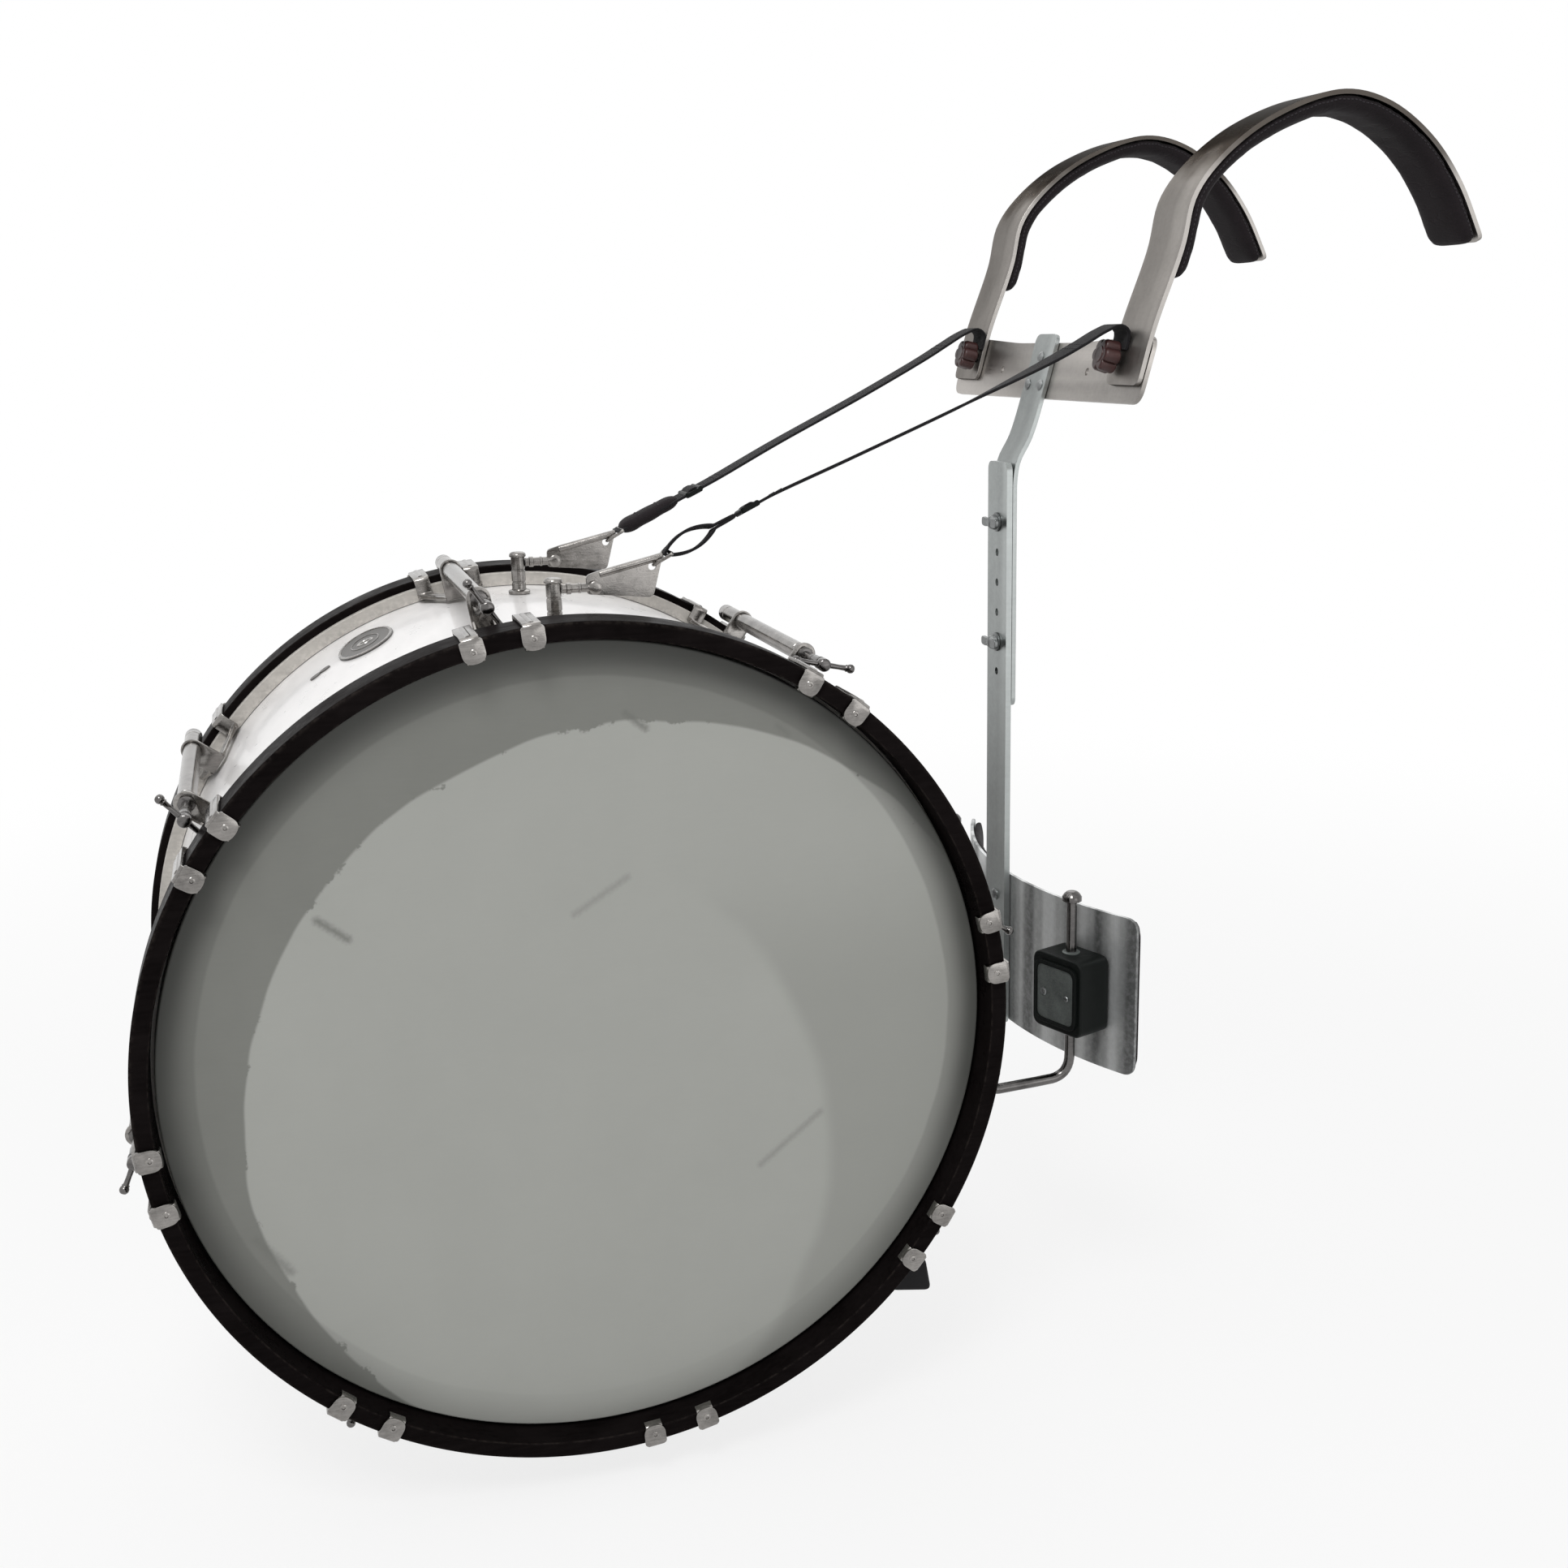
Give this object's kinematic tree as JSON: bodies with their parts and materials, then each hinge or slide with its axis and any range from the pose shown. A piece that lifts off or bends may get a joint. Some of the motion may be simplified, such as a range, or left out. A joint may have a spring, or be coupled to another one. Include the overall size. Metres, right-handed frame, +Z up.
{
  "type": "marching bass drum",
  "caption": "Marching bass drum with T-screw tensioned wooden hoops, worn on a shoulder carrier with arches, belly plate, J-rods and side straps",
  "frame": {"origin": "centre of the near head's outer face, on the drum's axis", "axes": "+Z up as worn, +Y along the drum's axis from the near head to the far head, +X from the drum toward the player"},
  "size_m": [1.058, 0.3958, 1.0266],
  "materials": {
    "shell_wrap": "white pearl wrap, glossy",
    "head_film": "pale grey film, fine matt grain",
    "hoop_lacquer": "black gloss lacquer",
    "chrome": "polished chrome",
    "brushed": "brushed",
    "bolt_steel": "zinc plated",
    "black_plastic": "moulded, satin",
    "knob_plastic": "moulded, satin",
    "foam": "closed foam with knit cover",
    "webbing": "woven webbing",
    "rubber": "moulded, matt",
    "badge_metal": "satin, blank"
  },
  "bodies": {
    "drum_and_post": {"shell": "shell_wrap", "near_head": "head_film", "far_head": "head_film", "near_hoop": "hoop_lacquer", "far_hoop": "hoop_lacquer", "shell_badge": "badge_metal", "rubber_foot": "rubber", "near_fork_1": "chrome", "far_fork_1": "chrome", "near_fork_2": "chrome", "far_fork_2": "chrome", "near_fork_3": "chrome", "far_fork_3": "chrome", "near_fork_4": "chrome", "far_fork_4": "chrome", "near_fork_5": "chrome", "far_fork_5": "chrome", "near_fork_6": "chrome", "far_fork_6": "chrome", "near_fork_7": "chrome", "far_fork_7": "chrome", "near_fork_8": "chrome", "far_fork_8": "chrome", "ear_post_near": "chrome", "ear_plate_near": "chrome", "hook_socket_near": "chrome", "rod_clamp_near": "black_plastic", "strap_buckle_near": "black_plastic", "lower_strap_near": "webbing", "upper_strap_near": "webbing", "ear_post_far": "chrome", "ear_plate_far": "chrome", "hook_socket_far": "chrome", "rod_clamp_far": "black_plastic", "strap_buckle_far": "black_plastic", "lower_strap_far": "webbing", "upper_strap_far": "webbing", "post": "brushed", "belly_plate": "brushed", "belly_pad": "foam"},
    "yoke": {"stem": "brushed", "chest_plate": "brushed", "arch_near": "brushed", "arch_far": "brushed", "arch_pad_near": "foam", "arch_pad_far": "foam"},
    "t_screw_1_body": {"t_screw_1": "chrome"},
    "t_screw_2_body": {"t_screw_2": "chrome"},
    "t_screw_3_body": {"t_screw_3": "chrome"},
    "t_screw_4_body": {"t_screw_4": "chrome"},
    "t_screw_5_body": {"t_screw_5": "chrome"},
    "t_screw_6_body": {"t_screw_6": "chrome"},
    "t_screw_7_body": {"t_screw_7": "chrome"},
    "t_screw_8_body": {"t_screw_8": "chrome"},
    "height_bolt_top_body": {"height_bolt_top": "bolt_steel"},
    "height_bolt_low_body": {"height_bolt_low": "bolt_steel"},
    "hook_rod_near_body": {"hook_rod_near": "chrome"},
    "hook_rod_far_body": {"hook_rod_far": "chrome"},
    "strap_knob_near_body": {"strap_knob_near": "knob_plastic"},
    "strap_knob_far_body": {"strap_knob_far": "knob_plastic"}
  },
  "joints": [
    {"name": "turn_t_screw_1", "type": "hinge", "parent": "drum_and_post", "child": "t_screw_1_body", "pos_m": [0.32773, 0.0326, 0.05308], "axis": [0, 1, 0], "continuous": true},
    {"name": "turn_t_screw_2", "type": "hinge", "parent": "drum_and_post", "child": "t_screw_2_body", "pos_m": [0.19421, 0.0326, 0.26927], "axis": [0, 1, 0], "continuous": true},
    {"name": "turn_t_screw_3", "type": "hinge", "parent": "drum_and_post", "child": "t_screw_3_body", "pos_m": [-0.05308, 0.0326, 0.32773], "axis": [0, 1, 0], "continuous": true},
    {"name": "turn_t_screw_4", "type": "hinge", "parent": "drum_and_post", "child": "t_screw_4_body", "pos_m": [-0.26927, 0.0326, 0.19421], "axis": [0, 1, 0], "continuous": true},
    {"name": "turn_t_screw_5", "type": "hinge", "parent": "drum_and_post", "child": "t_screw_5_body", "pos_m": [-0.32773, 0.0326, -0.05308], "axis": [0, 1, 0], "continuous": true},
    {"name": "turn_t_screw_6", "type": "hinge", "parent": "drum_and_post", "child": "t_screw_6_body", "pos_m": [-0.19421, 0.0326, -0.26927], "axis": [0, 1, 0], "continuous": true},
    {"name": "turn_t_screw_7", "type": "hinge", "parent": "drum_and_post", "child": "t_screw_7_body", "pos_m": [0.05308, 0.0326, -0.32773], "axis": [0, 1, 0], "continuous": true},
    {"name": "turn_t_screw_8", "type": "hinge", "parent": "drum_and_post", "child": "t_screw_8_body", "pos_m": [0.26927, 0.0326, -0.19421], "axis": [0, 1, 0], "continuous": true},
    {"name": "yoke_height", "type": "slide", "parent": "drum_and_post", "child": "yoke", "axis": [0, 0, 1], "range_m": [-0.035, 0], "deforming": ["upper_strap_near", "upper_strap_far"]},
    {"name": "turn_height_bolt_top", "type": "hinge", "parent": "drum_and_post", "child": "height_bolt_top_body", "pos_m": [0.391, 0.1736, 0.353], "axis": [1, 0, 0], "continuous": true},
    {"name": "turn_height_bolt_low", "type": "hinge", "parent": "drum_and_post", "child": "height_bolt_low_body", "pos_m": [0.391, 0.1736, 0.2514], "axis": [1, 0, 0], "continuous": true},
    {"name": "slide_hook_rod_near", "type": "slide", "parent": "drum_and_post", "child": "hook_rod_near_body", "axis": [0, 0, 1], "range_m": [-0.04, 0]},
    {"name": "slide_hook_rod_far", "type": "slide", "parent": "drum_and_post", "child": "hook_rod_far_body", "axis": [0, 0, 1], "range_m": [-0.04, 0]},
    {"name": "turn_strap_knob_near", "type": "hinge", "parent": "yoke", "child": "strap_knob_near_body", "pos_m": [0.42263, 0.0336, 0.48844], "axis": [0.9619, 0, -0.2733], "continuous": true},
    {"name": "turn_strap_knob_far", "type": "hinge", "parent": "yoke", "child": "strap_knob_far_body", "pos_m": [0.42263, 0.3136, 0.48844], "axis": [0.9619, 0, -0.2733], "continuous": true}
  ]
}
